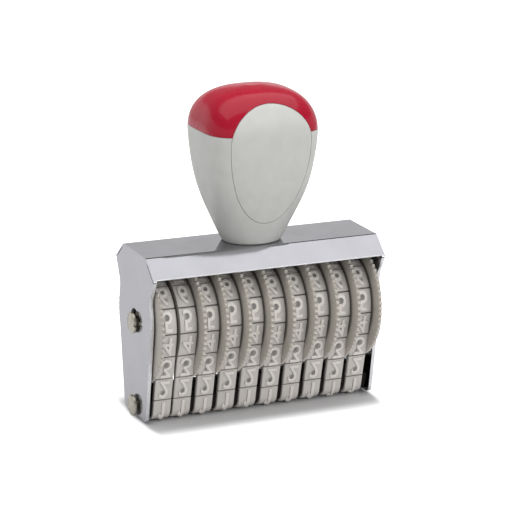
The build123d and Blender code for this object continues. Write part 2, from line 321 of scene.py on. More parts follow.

# the floor starts to glow outside this half size, by distances that count more along X; inside it
# the floor is left duller, painted shade added to the machine's shadow
FOOTPRINT = (0.033, 0.009, 0.0)
FADE_SHARES = (3.4, 1.0, 0.0)
LIFT_START = 0.003
LIFT_END = 0.014
MIRRORED_LIFT = 0.2


def metal_finish(name, tone, rough, smudge_scale, dirt, spread=1.0):
    """Metal whose smudges have a share of its tone: the finish and the smudges' mask."""
    finish = Finish(name, Metallic=1.0, Roughness=rough)
    smudges = finish.smudges(smudge_scale, spread)
    finish.feed("Base Color", finish.blend(smudges, tone, shaded(tone, dirt)))
    return finish, smudges


def chrome_finish(tone):
    """Plated sheet: a mirror with faint handling marks and a slight waviness."""
    finish, smudges = metal_finish("chrome_sheet", tone, 0.16, 90.0, dirt=0.93, spread=0.8)
    finish.feed("Roughness", finish.ranged(smudges, 0.07, 0.13))
    height, mottle = finish.grain(900.0, 45.0)
    waves = finish.bump(mottle, 0.04, 0.0004)
    finish.bump(height, 0.02, 0.00005, waves)
    return finish.material


def cut_edge_glint_finish(tone):
    """Plated edges where the sheet was cut: satin, so that they catch more light, and lighter than
    the chrome, which paints a highlight along them.
    """
    return metal_finish("cut_edge_glint", tone, 0.42, 500.0, dirt=0.85)[0].material


def nickel_finish(tone):
    """Turned pin with fine lathe marks round its axis."""
    finish, smudges = metal_finish("nickel_pin", tone, 0.3, 700.0, dirt=0.82)
    finish.feed("Roughness", finish.ranged(smudges, 0.26, 0.4))
    height, _ = finish.grain(4000.0, 900.0)
    finish.bump(height, 0.15, 0.00004)
    return finish.material


def brass_finish(tone):
    """Pressed brass of the captive nut."""
    return metal_finish("brass_nut", tone, 0.35, 600.0, dirt=0.75)[0].material


def moulded_finish(name, tone, rough, grain_scale, grain_depth, shine=0.5):
    """Moulded plastic with a fine grain and a slightly uneven tone."""
    finish = Finish(name, Roughness=rough, Specular_IOR_Level=shine)
    height, mottle = finish.grain(grain_scale, 260.0)
    uneven = finish.ranged(mottle, -0.4, 1.4)
    finish.feed("Base Color", finish.blend(uneven, shaded(tone, 0.94), shaded(tone, 1.05)))
    smudges = finish.smudges(160.0)
    finish.feed("Roughness", finish.ranged(smudges, rough - 0.05, rough + 0.08))
    finish.bump(height, 0.35, grain_depth)
    return finish.material


def cap_finish(tone):
    """Glossy red moulding under a clear skin."""
    finish = Finish(
        "glossy_cap", Roughness=0.3, Specular_IOR_Level=0.2, Coat_Weight=0.35, Coat_Roughness=0.03
    )
    _, mottle = finish.grain(1500.0, 120.0)
    finish.feed("Base Color", finish.blend(mottle, shaded(tone, 0.92), shaded(tone, 1.06)))
    finish.feed("Roughness", finish.ranged(finish.smudges(130.0), 0.22, 0.34))
    finish.bump(mottle, 0.03, 0.0003)
    return finish.material


def toned_finish(name, tone, rough, attribute, shares, grain_scales, bump):
    """Mottled moulding whose tone follows an attribute of its vertices."""
    finish = Finish(name, Roughness=rough)
    read = finish.node("ShaderNodeAttribute")
    read.attribute_name = attribute
    height, mottle = finish.grain(*grain_scales)
    stops = [(position, shaded(tone, share)) for position, share in shares]
    ramp = tone_ramp(finish.tree, read.outputs["Fac"], stops)
    mottled = finish.blend(mottle, grey(MOTTLE_TONE), grey(1.0))
    finish.feed("Base Color", colour_mix(finish.tree, 1.0, ramp, mottled, "MULTIPLY"))
    finish.bump(height, *bump)
    return finish.material


def rubber_finish(tone):
    """Smooth rubber: painted shade, partly dirt, darkens its grooves; a painted highlight makes the
    tops of the digits paler.
    """
    return toned_finish(
        "band_rubber", tone, 0.5, "raised", BAND_TONES, (1800.0, 420.0), (0.25, 0.00005)
    )


def wheel_finish(tone):
    """Moulded wheel with painted shade deep between the bands and a painted highlight on the thumb
    teeth.
    """
    return toned_finish(
        "wheel_plastic", tone, 0.45, "shade_and_glint", WHEEL_TONES, (2600.0, 260.0), (0.35, 0.00004)
    )


def floor_finish(tone):
    """Floor that takes the shadow, and glows away from it: to the camera, faintly in mirrors; its
    glow fades out round the machine, which adds painted shade there.
    """
    finish = Finish("studio_floor", Roughness=0.9, Specular_IOR_Level=0.0)
    _, mottle = finish.grain(60.0, 4.0)
    finish.feed("Base Color", finish.blend(mottle, shaded(tone, 0.995), tone))
    rays = finish.node("ShaderNodeLightPath").outputs
    seen = finish.node("ShaderNodeMath")
    seen.operation = "MULTIPLY_ADD"
    finish.link(rays["Is Glossy Ray"], seen.inputs[0])
    seen.inputs[1].default_value = MIRRORED_LIFT
    finish.link(rays["Is Camera Ray"], seen.inputs[2])
    finish.feed("Emission Color", finish.blend(seen.outputs["Value"], grey(0.0), grey(1.0)))

    # the glow fades out round the machine's footprint: painted shade round the machine
    reach = finish.node("ShaderNodeTexCoord").outputs["Object"]
    for operation, value in (
        ("ABSOLUTE", None), ("SUBTRACT", FOOTPRINT), ("MAXIMUM", grey(0.0)),
        ("MULTIPLY", FADE_SHARES), ("LENGTH", None),
    ):
        step = finish.node("ShaderNodeVectorMath")
        step.operation = operation
        if value:
            step.inputs[1].default_value = value
        finish.link(reach, step.inputs[0])
        reach = step.outputs["Value" if operation == "LENGTH" else "Vector"]
    lift = finish.node("ShaderNodeMapRange", From_Min=LIFT_START, From_Max=LIFT_END)
    lift.interpolation_type = "SMOOTHSTEP"
    finish.link(reach, lift.inputs["Value"])
    finish.feed("Emission Strength", lift.outputs["Result"])
    return finish.material


# ------------ mesh helpers
def placed(name, data):
    """New object at the origin, in the scene."""
    made = bpy.data.objects.new(name, data)
    bpy.context.scene.collection.objects.link(made)
    return made


def mesh_from(bm, name):
    """Turn a bmesh into a mesh and let go of it."""
    mesh = bpy.data.meshes.new(name)
    bm.to_mesh(mesh)
    bm.free()
    return mesh


def piece_from(bm, name, material, smooth_angle=32.0):
    """Turn a finished bmesh into an object, smooth up to an angle in degrees."""
    sharp = math.radians(smooth_angle)
    for face in bm.faces:
        face.smooth = True
    for edge in bm.edges:
        edge.smooth = edge.calc_face_angle(0.0) < sharp
    piece = placed(name, mesh_from(bm, name))
    piece.data.materials.append(material)
    return piece


def hand_over(piece, body, slot, *nodes):
    """Let a piece ride on its body and stand for its CAD nodes."""
    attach(piece, body)
    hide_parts(*nodes)


def combined(base, others, operation):
    """Bmesh of base after a boolean with each of the other bmeshes."""
    kept, *tools = [placed("part", mesh_from(bm, "part")) for bm in (base, *others)]
    for tool in tools:
        modifier = kept.modifiers.new("cut", "BOOLEAN")
        modifier.operation = operation
        modifier.solver = "EXACT"
        modifier.object = tool
    result = bmesh.new()
    result.from_object(kept, bpy.context.evaluated_depsgraph_get())
    for held in (kept, *tools):
        bpy.data.objects.remove(held)
    return result


def rounded(bm, geom, offset, segments, affect="EDGES"):
    """Bevel edges, or corners where affect is VERTICES."""
    bmesh.ops.bevel(
        bm, geom=geom, offset=offset, offset_type="OFFSET", segments=segments, profile=0.5,
        affect=affect, material=-1, clamp_overlap=affect == "EDGES",
    )


def cylinder(radius, start, end, segments=64):
    """Closed cylinder between two points."""
    axis = Vector(end) - Vector(start)
    turn = Vector((0, 0, 1)).rotation_difference(axis).to_matrix().to_4x4()
    place = Matrix.Translation((Vector(start) + Vector(end)) / 2) @ turn
    bm = bmesh.new()
    bmesh.ops.create_cone(
        bm, cap_ends=True, segments=segments, radius1=radius, radius2=radius,
        depth=axis.length, matrix=place,
    )
    return bm


def spun(profile, steps, closed):
    """Surface of a profile of (x, radius) turned round the X axis."""
    bm = bmesh.new()
    verts = [bm.verts.new((x, 0.0, radius)) for x, radius in profile]
    first = 0 if closed else 1
    edges = [bm.edges.new((verts[index], verts[index - 1])) for index in range(first, len(verts))]
    bmesh.ops.spin(
        bm, geom=verts + edges, cent=(0, 0, 0), axis=(1, 0, 0), dvec=(0, 0, 0), angle=FULL_TURN,
        steps=steps, use_merge=True, use_normal_flip=False, use_duplicate=False,
    )
    bmesh.ops.remove_doubles(bm, verts=bm.verts[:], dist=WELD)
    return bm


def plate(outline, left, width, segments=8):
    """Slab across the machine from x = left, with an outline of (y, z, rounding radius)."""
    bm = bmesh.new()
    verts = [bm.verts.new((left, y, z)) for y, z, _ in outline]
    bm.faces.new(verts)
    corners = [Vector((y, z)) for y, z, _ in outline]
    for index, (vert, (_, _, radius)) in enumerate(zip(verts, outline)):
        if radius:
            here = corners[index]
            before = (corners[index - 1] - here).normalized()
            after = (corners[(index + 1) % len(corners)] - here).normalized()
            reach = radius / math.tan(before.angle(after) / 2)
            rounded(bm, [vert], reach, segments, "VERTICES")
    pushed = bmesh.ops.extrude_face_region(bm, geom=bm.faces[:])["geom"]
    moved = [item for item in pushed if isinstance(item, bmesh.types.BMVert)]
    bmesh.ops.translate(bm, verts=moved, vec=(width, 0, 0))
    bmesh.ops.recalc_face_normals(bm, faces=bm.faces[:])
    return bm


def middle_z(box):
    """Height of a box's middle."""
    low, high = box
    return (low.z + high.z) / 2


# ------------ frame sheet
SLOT_RADIUS = 3.0 * MM
SLOT_LIFT = 1.0 * MM
NECK_HOLE_RADIUS = 2.9 * MM
ROD_HOLE_RADIUS = 1.25 * MM
SCREW_HOLE_RADIUS = 2.15 * MM
PIP_HOLE_RADIUS = 1.1 * MM
PIP_REACH = 5.5 * MM
HOLE_REACH = 2.0 * MM
# the seams run down an apron's slope between these shares of it, this deep under its face
SEAM_START = 0.2
SEAM_END = 1.1
SEAM_DEPTH = 0.4 * MM
LONG_EDGE = 20.0 * MM
FLAT_ANGLE = math.radians(0.6)
CUT_ANGLE = math.radians(50.0)
# a sheared face's normal has more than this along Y, and less than this upwards
SHEARED_LEVEL = 0.55
SHEARED_RISE = 0.6


def cheek_outline(sheet, low, high):
    """Corners and radii of a cheek, down the back and up the front."""
    back = [
        (sheet.top_half_depth, high.z, sheet.fold_radius),
        (high.y, high.z - sheet.hood_drop, 0.0),
        (sheet.waist_half_depth, sheet.waist_height, sheet.waist_radius),
        (sheet.hip_half_depth, sheet.hip_height, sheet.hip_radius),
        (sheet.foot_half_depth, low.z, sheet.foot_radius),
    ]
    return back + [(-y, z, radius) for y, z, radius in reversed(back)]


def hood_outline(sheet, high):
    """Corners and radii of the folded hood: along the outside, then back along the inside."""
    run = high.y - sheet.top_half_depth
    slope = math.atan2(sheet.hood_drop, run)
    foot = high.z - sheet.hood_drop
    inner_top = high.z - sheet.thickness
    narrower = sheet.thickness * (run / sheet.hood_drop - 1 / math.sin(slope))
    inner_half = sheet.top_half_depth + narrower
    inner_foot_half = inner_half + (inner_top - foot) * run / sheet.hood_drop
    inner_radius = sheet.fold_radius - sheet.thickness
    return [
        (-high.y, foot, 0.0), (-sheet.top_half_depth, high.z, sheet.fold_radius),
        (sheet.top_half_depth, high.z, sheet.fold_radius), (high.y, foot, 0.0),
        (inner_foot_half, foot, 0.0), (inner_half, inner_top, inner_radius),
        (-inner_half, inner_top, inner_radius), (-inner_foot_half, foot, 0.0),
    ]


def seam_outline(sheet, high, side):
    """Corners of the thin gap under an apron's end, along its slope."""
    run = high.y - sheet.top_half_depth
    slope = math.atan2(sheet.hood_drop, run)
    floor = SEAM_DEPTH + sheet.seam
    outline = []
    for share, depth in (
        (SEAM_START, SEAM_DEPTH), (SEAM_END, SEAM_DEPTH), (SEAM_END, floor), (SEAM_START, floor)
    ):
        y = sheet.top_half_depth + share * run - depth * math.sin(slope)
        z = high.z - share * sheet.hood_drop - depth * math.cos(slope)
        outline.append((side * y, z, 0.0))
    return outline


class NUMBERER_OT_frame(bpy.types.Operator):
    """Fold the plated sheet frame"""

    bl_idname = "numberer.frame"
    bl_label = "Frame"

    def execute(self, context):
        sheet = context.scene.numberer_sheet
        tones = context.scene.numberer_colours
        low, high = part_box("frame")
        foot = high.z - sheet.hood_drop
        inner = high.x - sheet.thickness
        hood = plate(hood_outline(sheet, high), -inner, 2 * inner)
        cheeks = [
            plate(cheek_outline(sheet, low, high), left, sheet.thickness) for left in (low.x, inner)
        ]
        cutters = self.holes(high)
        for side in (-1, 1):
            cutters.append(self.upright_hole(PIP_HOLE_RADIUS, side * PIP_REACH, high.z, 32))
            for left in (low.x - MM, inner):
                cutters.append(plate(seam_outline(sheet, high, side), left, sheet.thickness + MM))
        shell = combined(combined(hood, cheeks, "UNION"), cutters, "DIFFERENCE")
        bmesh.ops.remove_doubles(shell, verts=shell.verts[:], dist=WELD)
        bmesh.ops.dissolve_limit(
            shell, angle_limit=FLAT_ANGLE, use_dissolve_boundaries=False, verts=shell.verts[:],
            edges=shell.edges[:], delimit=set(),
        )

        def edges_where(test):
            return [edge for edge in shell.edges if all(test(vert.co) for vert in edge.verts)]

        end_folds = edges_where(lambda at: abs(abs(at.x) - high.x) < NEAR and at.z > high.z - NEAR)
        rounded(shell, end_folds, sheet.end_fold_radius, 4)
        feet = edges_where(lambda at: abs(abs(at.y) - high.y) < NEAR and abs(at.z - foot) < NEAR)
        feet = [edge for edge in feet if edge.calc_length() > LONG_EDGE]
        rounded(shell, feet, sheet.foot_roll, 3)
        cut = [edge for edge in shell.edges if self.is_cut_edge(edge, high.x, foot)]
        rounded(shell, cut, sheet.edge_break, 2)
        # cut edges and rolled feet take the lighter satin tone, a painted highlight
        for face in shell.faces:
            face.material_index = int(self.takes_edge_glint(face, sheet, high.x, foot))
        piece = piece_from(shell, "folded_frame", chrome_finish(tones.chrome), 50.0)
        piece.data.materials.append(cut_edge_glint_finish(tones.cut_edge_glint_tone))
        piece.modifiers.new("flat faces", "WEIGHTED_NORMAL").keep_sharp = True
        hand_over(piece, MACHINE, "chrome_sheet", "frame")
        return {"FINISHED"}

    def holes(self, high):
        """Cutters for the axle, the tie rod and the screw."""
        axle_z = middle_z(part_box("wheel_axle"))
        across = (
            (SLOT_RADIUS, axle_z + SLOT_LIFT), (NECK_HOLE_RADIUS, axle_z),
            (ROD_HOLE_RADIUS, middle_z(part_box("tie_rod"))),
        )
        end = 2 * high.x
        made = [cylinder(radius, (-end, 0, z), (end, 0, z)) for radius, z in across]
        return made + [self.upright_hole(SCREW_HOLE_RADIUS, 0.0, high.z, 64)]

    @staticmethod
    def upright_hole(radius, x, top, segments):
        """Cutter through the top plate."""
        return cylinder(radius, (x, 0, top - HOLE_REACH), (x, 0, top + HOLE_REACH), segments)

    @staticmethod
    def takes_edge_glint(face, sheet, outer, foot):
        """True for the cut faces along the cheeks' sides and for the rolled feet of the aprons,
        which take the lighter edge tone, a painted highlight.
        """
        middle = face.calc_center_median()
        level = abs(face.normal.y) > SHEARED_LEVEL
        on_cheek = abs(middle.x) > outer - sheet.thickness and middle.z < foot - sheet.foot_roll
        on_roll = abs(middle.z - foot) < sheet.foot_roll and face.normal.z < SHEARED_RISE
        return level and (on_cheek or on_roll)

    @staticmethod
    def is_cut_edge(edge, outer, foot):
        """True for the sheet's sheared edges on the cheeks and along the aprons' feet."""
        if len(edge.link_faces) != 2 or edge.calc_face_angle(0.0) < CUT_ANGLE:
            return False
        places = [vert.co for vert in edge.verts]
        outside = all(abs(abs(place.x) - outer) < NEAR for place in places)
        along_foot = all(place.z < foot + NEAR for place in places)
        below = all(place.z < foot - MM for place in places)
        return outside or below or (along_foot and edge.calc_length() > LONG_EDGE)


# ------------ number wheels
RIM_CLEARANCE = 0.01 * MM
WHEEL_SOFT = 0.15 * MM
# painted tone where the flange meets the teeth, and how much less a tooth's root has: painted shade
# towards the drum and between the teeth, painted highlight on their tips
FLANK_PAINTED_LIGHT = 0.8
TOOTH_ROOT_PAINTED_SHADE = 0.55
# the first wheel's flange stands this far off its end of the row
END_WHEEL_SET_IN = 0.45 * MM
# where each wheel rests, as a share of one tooth
WHEEL_PHASES = (0.37, 0.90, 0.55, 0.40, 0.15, 0.58, 0.57, 0.51, 0.04, 0.48)


def wheel_profile(wheel, width, rim):
    """Half section of a wheel whose flange is on the right: (x, radius) round its outline."""
    drum = width - wheel.flange_width
    pocket = drum - wheel.web_width
    inner = wheel.drum_radius - wheel.drum_wall
    root = rim - wheel.tooth_depth - WHEEL_SOFT
    return [
        (0.0, wheel.bore_radius), (0.0, wheel.hub_radius), (pocket, wheel.hub_radius),
        (pocket, inner), (0.0, inner), (0.0, wheel.drum_radius - WHEEL_SOFT),
        (WHEEL_SOFT, wheel.drum_radius), (drum, wheel.drum_radius), (drum, root),
        (drum + wheel.tooth_chamfer, rim), (width - wheel.tooth_chamfer, rim), (width, root),
        (width, wheel.hub_radius + MM), (width, wheel.bore_radius + WHEEL_SOFT),
        (width - WHEEL_SOFT, wheel.bore_radius),
    ]


def wheel_shape(wheel, width, rim, flange_is_left):
    """Bmesh of a wheel round the X axis, starting at x = 0."""
    bm = spun(wheel_profile(wheel, width, rim), 4 * wheel.teeth, True)
    # painted tone: painted shade towards the drum, painted highlight on the teeth's tips
    shade_and_glint = bm.verts.layers.float.new("shade_and_glint")
    reach = rim - wheel.tooth_depth - wheel.drum_radius
    for vert in bm.verts:
        radius = math.hypot(vert.co.y, vert.co.z)
        vert[shade_and_glint] = FLANK_PAINTED_LIGHT * max(0.0, radius - wheel.drum_radius) / reach
        if radius > rim - NEAR:
            fall = 0.5 - 0.5 * math.cos(wheel.teeth * math.atan2(vert.co.z, vert.co.y))
            vert[shade_and_glint] = 1 - TOOTH_ROOT_PAINTED_SHADE * fall
            share = 1 - wheel.tooth_depth * fall / radius
            vert.co.y *= share
            vert.co.z *= share
    if flange_is_left:
        bmesh.ops.scale(bm, vec=(-1, 1, 1), verts=bm.verts[:])
        bmesh.ops.translate(bm, vec=(width, 0, 0), verts=bm.verts[:])
        outside = [vert for vert in bm.verts if vert.co.x < wheel.flange_width / 2]
        bmesh.ops.translate(bm, vec=(END_WHEEL_SET_IN, 0, 0), verts=outside)
    bmesh.ops.recalc_face_normals(bm, faces=bm.faces[:])
    return bm


class NUMBERER_OT_wheels(bpy.types.Operator):
    """Turn the ten knurled number wheels"""

    bl_idname = "numberer.wheels"
    bl_label = "Number wheels"

    def execute(self, context):
        wheel = context.scene.numberer_wheel
        material = wheel_finish(context.scene.numberer_colours.wheel)
        for index, phase in enumerate(WHEEL_PHASES, 1):
            node = f"number_wheel_{index:02d}"
            low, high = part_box(node)
            rim = (high.y - low.y) / 2 - RIM_CLEARANCE
            bm = wheel_shape(wheel, high.x - low.x, rim, index == 1)
            turn = Matrix.Rotation(FULL_TURN * phase / wheel.teeth, 4, "X")
            bmesh.ops.transform(bm, matrix=turn, verts=bm.verts[:])
            bmesh.ops.translate(bm, vec=(low.x, 0, (low.z + high.z) / 2), verts=bm.verts[:])
            piece = piece_from(bm, f"knurled_wheel_{index:02d}", material, 50.0)
            hand_over(piece, f"wheel_{index:02d}", "wheel_plastic", node)
        return {"FINISHED"}


# ------------ digit bands
# a groove's shape, from a cell's edge inwards, with the depth there as a share of the groove
GROOVE_STEPS = ((0.0, 1.0), (0.11, 1.0), (0.18, 0.3), (0.28, 0.0))
CELL_LENGTH = 6.8
PAD_ROWS = 15
# the band's edge: shares of its half width, with the depth there in millimetres
PAD_EDGE = ((0.92, 0.0), (0.98, 0.06), (1.0, 0.20))
PAD_COLUMNS = 11
PAD_FLAT = 0.8
# painted tone of the pads, between the painted shade of the grooves and the painted highlight of
# the digits
PAD_TONE = 0.4
BACK_CHAMFER = 0.1 * MM
# how far each band has crept along its loop
BAND_CREEP = tuple(way * MM for way in (0.1, 0.0, -0.3, 0.4, 0.45, -0.4, -0.35, 0.0, -0.9, -0.6))

# one mark for each cell; the 1 and the 3 are look-alikes with plainer strokes
CELL_MARKS = "0\U0001d7ed2\u04e0456789/-.= "
CELL_COUNT = len(CELL_MARKS)
MARK_SQUEEZE = {"\U0001d7ed": 0.75}
# size of a digit in the font, and of its raised body and soft edge
FONT_WIDTH = 0.46
FONT_HEIGHT = 0.70
FONT_EXTRUDE = 0.06
FONT_BEVEL = 0.022
FONT_OFFSET = -0.006
FONT_WELD = 1e-5
MARK_ROOT = 0.1 * MM
MARK_SINK = 0.01 * MM
MARK_CUT = 0.8 * MM
# hollows of each mark, inked and darkened with painted shade: middle and half sizes, in the font's
# units
SHADE_AND_INK_TONE = 0.9
SHADE_AND_INK_POOLS = {
    "0": ((0.0, 0.34, 0.10, 0.20),),
    "2": ((-0.04, 0.49, 0.10, 0.11),),
    "\u04e0": ((-0.01, 0.21, 0.13, 0.14), (-0.08, 0.56, 0.07, 0.07)),
    "4": ((-0.01, 0.31, 0.06, 0.09),),
    "5": ((-0.03, 0.21, 0.12, 0.16),),
    "6": ((0.01, 0.21, 0.12, 0.15), (0.08, 0.49, 0.08, 0.06)),
    "8": ((0.0, 0.52, 0.09, 0.09), (0.0, 0.19, 0.11, 0.11)),
    "9": ((0.0, 0.48, 0.11, 0.12),),
}


class BandLoop:
    """Line of the print faces, from the foot's middle up the front and round.

    Ways along it are measured on the neutral line, so that the outside is stretched in the bends.
    """

    def __init__(self, band, axle_z):
        self.crown = band.crown_radius
        self.corner = band.foot_radius
        self.crown_bend = self.crown - band.neutral
        self.corner_bend = self.corner - band.neutral
        self.flat = band.foot_half_depth - band.foot_radius
        self.axle_z = axle_z
        lift = axle_z - self.corner
        spread = math.hypot(self.flat, lift)
        lean = math.asin((self.crown - self.corner) / spread)
        self.normal = math.atan2(lift, self.flat) + math.pi / 2 + lean
        self.corner_length = self.corner_bend * (3 * math.pi / 2 - self.normal)
        self.side_length = math.sqrt(spread ** 2 - (self.crown - self.corner) ** 2)
        self.half = self.flat + self.corner_length + self.side_length
        self.half += self.crown_bend * (self.normal - math.pi / 2)
        self.total = 2 * self.half

    def place(self, along, height):
        """Point at a way along the loop and a height over it, as (y, z)."""
        along %= self.total
        if along > self.half:
            y, z = self.place(self.total - along, height)
            return -y, z
        if along <= self.flat:
            return -along, -height
        along -= self.flat
        reach = self.corner + height
        if along <= self.corner_length:
            angle = 3 * math.pi / 2 - along / self.corner_bend
            return -self.flat + reach * math.cos(angle), self.corner + reach * math.sin(angle)
        along -= self.corner_length
        if along <= self.side_length:
            across, up = math.cos(self.normal), math.sin(self.normal)
            y = -self.flat + reach * across + along * up
            z = self.corner + reach * up - along * across
            return y, z
        along -= self.side_length
        angle = self.normal - along / self.crown_bend
        reach = self.crown + height
        return reach * math.cos(angle), self.axle_z + reach * math.sin(angle)


def cell_rows():
    """Ways along one cell as shares of its length, with the groove's depth there."""
    edge = [(way / CELL_LENGTH, share) for way, share in GROOVE_STEPS]
    first, last = edge[-1][0], 1 - edge[-1][0]
    pad = [(first + (last - first) * row / PAD_ROWS, 0.0) for row in range(1, PAD_ROWS)]
    return edge + pad + [(1 - way, share) for way, share in reversed(edge[1:])]


def band_section(band):
    """Outline of the band's section: (x, depth, whether it is on the pads)."""
    half = band.width / 2
    back = band.thickness - band.relief
    step = 2 * PAD_FLAT * half / (PAD_COLUMNS - 1)
    flat = [(column * step - PAD_FLAT * half, 0.0, True) for column in range(PAD_COLUMNS)]
    side = [(share * half, depth * MM, True) for share, depth in PAD_EDGE]
    inner = [(half, back - BACK_CHAMFER, False), (half - BACK_CHAMFER, back, False)]

    def mirrored(points):
        return [(-x, depth, on_top) for x, depth, on_top in reversed(points)]

    return mirrored(side) + flat + side + inner + mirrored(inner)


def shade_and_ink_share(band, mark, x, up):
    """How far into the painted shade of an inked hollow a point of a cell is, from 0 to 1, at x and
    a way up from its middle.
    """
    across = x * FONT_WIDTH / band.digit_width
    height = FONT_HEIGHT * (0.5 + up / band.digit_height)
    shares = [
        math.exp(-(((across - x0) / wide) ** 4) - ((height - y0) / tall) ** 4)
        for x0, y0, wide, tall in SHADE_AND_INK_POOLS.get(mark, ())
    ]
    return max(shares, default=0.0)


def band_body(band, loop, start):
    """Closed loop of pads and grooves, one band wide, round x = 0, its first groove at start."""
    section = band_section(band)
    cell_length = loop.total / CELL_COUNT
    rows = [(cell, way, share) for cell in range(CELL_COUNT) for way, share in cell_rows()]
    bm = bmesh.new()
    raised = bm.verts.layers.float.new("raised")
    bmesh.ops.create_grid(bm, x_segments=len(section), y_segments=len(rows), size=0.5)
    for vert in bm.verts:
        column = round((vert.co.x + 0.5) * len(section)) % len(section)
        row = round((vert.co.y + 0.5) * len(rows)) % len(rows)
        x, depth, on_top = section[column]
        cell, way, share = rows[row]
        if on_top:
            mark = CELL_MARKS[(cell + 1) % CELL_COUNT]
            # painted shade in the mark's inked hollows
            shade_and_ink = shade_and_ink_share(band, mark, x, (0.5 - way) * cell_length)
            # painted shade in the grooves, partly dirt
            vert[raised] = PAD_TONE * (1 - share) * (1 - SHADE_AND_INK_TONE * shade_and_ink)
            depth += share * band.groove
        y, z = loop.place(start + (cell + way) * cell_length, -band.relief - depth)
        vert.co = (x, y, z)
    bmesh.ops.remove_doubles(bm, verts=bm.verts[:], dist=NEAR)
    bmesh.ops.recalc_face_normals(bm, faces=bm.faces[:])
    return bm


def mark_relief(band, mark):
    """Bmesh of one flat mark, centred, cut across so that it can bend round the loop."""
    text = bpy.data.curves.new("mark", "FONT")
    text.body = mark
    text.align_x = "CENTER"
    text.extrude = FONT_EXTRUDE
    text.bevel_depth = FONT_BEVEL
    text.bevel_resolution = 1
    text.offset = FONT_OFFSET
    text.resolution_u = 4
    holder = placed("mark", text)
    graph = bpy.context.evaluated_depsgraph_get()
    solid = bpy.data.meshes.new_from_object(holder.evaluated_get(graph))
    bm = bmesh.new()
    bm.from_mesh(solid)
    bpy.data.objects.remove(holder)
    bpy.data.meshes.remove(solid)
    bmesh.ops.remove_doubles(bm, verts=bm.verts[:], dist=FONT_WELD)
    wide = band.digit_width / FONT_WIDTH * MARK_SQUEEZE.get(mark, 1.0)
    tall = band.digit_height / FONT_HEIGHT
    top = max(vert.co.z for vert in bm.verts)
    bottom = min(vert.co.z for vert in bm.verts)
    for vert in bm.verts:
        share = (vert.co.z - bottom) / (top - bottom)
        height = share * (band.relief + MARK_ROOT) - MARK_ROOT
        vert.co = (vert.co.x * wide, (vert.co.y - FONT_HEIGHT / 2) * tall, height)
    cut = -band.digit_height / 2
    while cut < band.digit_height / 2:
        bmesh.ops.bisect_plane(
            bm, geom=bm.verts[:] + bm.edges[:] + bm.faces[:], dist=WELD,
            plane_co=(0, cut, 0), plane_no=(0, 1, 0),
        )
        cut += MARK_CUT
    bmesh.ops.triangulate(bm, faces=[face for face in bm.faces if len(face.verts) > 4])
    return bm


def add_marks(bm, reliefs, band, loop, start):
    """Raise each cell's mark, mirrored and upside down on the front, so that it prints upright."""
    for cell, flat in enumerate(reliefs):
        if flat is None:
            continue
        relief = flat.copy()
        raised = relief.verts.layers.float.new("raised")
        middle = start + (cell - 0.5) * loop.total / CELL_COUNT
        for vert in relief.verts:
            x, up, height = vert.co
            vert.co = (x, *loop.place(middle - up, height - band.relief - MARK_SINK))
            # painted tone by height: painted shade at a mark's foot, painted highlight on its top
            vert[raised] = max(0.0, height / band.relief)
        mesh = mesh_from(relief, "mark")
        bm.from_mesh(mesh)
        bpy.data.meshes.remove(mesh)
    bmesh.ops.recalc_face_normals(bm, faces=bm.faces[:])


class NUMBERER_OT_bands(bpy.types.Operator):
    """Mould the ten rubber bands with their digits"""

    bl_idname = "numberer.bands"
    bl_label = "Digit bands"

    def execute(self, context):
        band = context.scene.numberer_band
        loop = BandLoop(band, middle_z(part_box("wheel_axle")))
        material = rubber_finish(context.scene.numberer_colours.band)
        reliefs = [mark_relief(band, mark) if mark != " " else None for mark in CELL_MARKS]
        for index, creep in enumerate(BAND_CREEP, 1):
            node = f"digit_band_{index:02d}"
            low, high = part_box(node)
            start = band.first_groove + creep
            bm = band_body(band, loop, start)
            add_marks(bm, reliefs, band, loop, start)
            bmesh.ops.translate(bm, vec=((low.x + high.x) / 2, 0, 0), verts=bm.verts[:])
            piece = piece_from(bm, f"rubber_band_{index:02d}", material, 40.0)
            hand_over(piece, MACHINE, "band_rubber", node)
        for relief in filter(None, reliefs):
            relief.free()
        return {"FINISHED"}


# ------------ pins, bridge and fixings
AXLE_RADIUS = 3.0 * MM
AXLE_NECK = 1.9 * MM
AXLE_SOFT = 0.2 * MM
ROD_HEAD = 3.0 * MM
ROD_SHAFT = 1.2 * MM
ROD_SOFT = 0.4 * MM
HEAD_GAP = 0.5 * MM
PIN_STEP = 0.1 * MM
PIN_STEPS = 72
PIT_RADIUS = 0.65 * MM
PIT_DEPTH = 0.8 * MM
PIT_SET_IN = 0.45 * MM


def dress(node, material):
    """Give a CAD node a material, in all of its slots."""
    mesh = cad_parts[node].data
    mesh.materials.clear()
    mesh.materials.append(material)


def pin_shape(box, cheek, head, neck, shaft, soft):
    """Bmesh of a pin along X: a shaft, necks through both cheeks and a head outside each."""
    end = box[1].x
    inner, outer = cheek
    seat = outer + HEAD_GAP
    half = [
        (end, 0.0), (end, head - soft), (end - 0.3 * soft, head - 0.3 * soft), (end - soft, head),
        (seat + PIN_STEP, head), (seat, head - PIN_STEP), (seat, neck),
        (inner - PIN_STEP, neck), (inner - PIN_STEP, shaft),
    ]
    bm = spun(half + [(-x, radius) for x, radius in reversed(half)], PIN_STEPS, False)
    bmesh.ops.translate(bm, vec=(0, 0, middle_z(box)), verts=bm.verts[:])
    bmesh.ops.recalc_face_normals(bm, faces=bm.faces[:])
    return bm


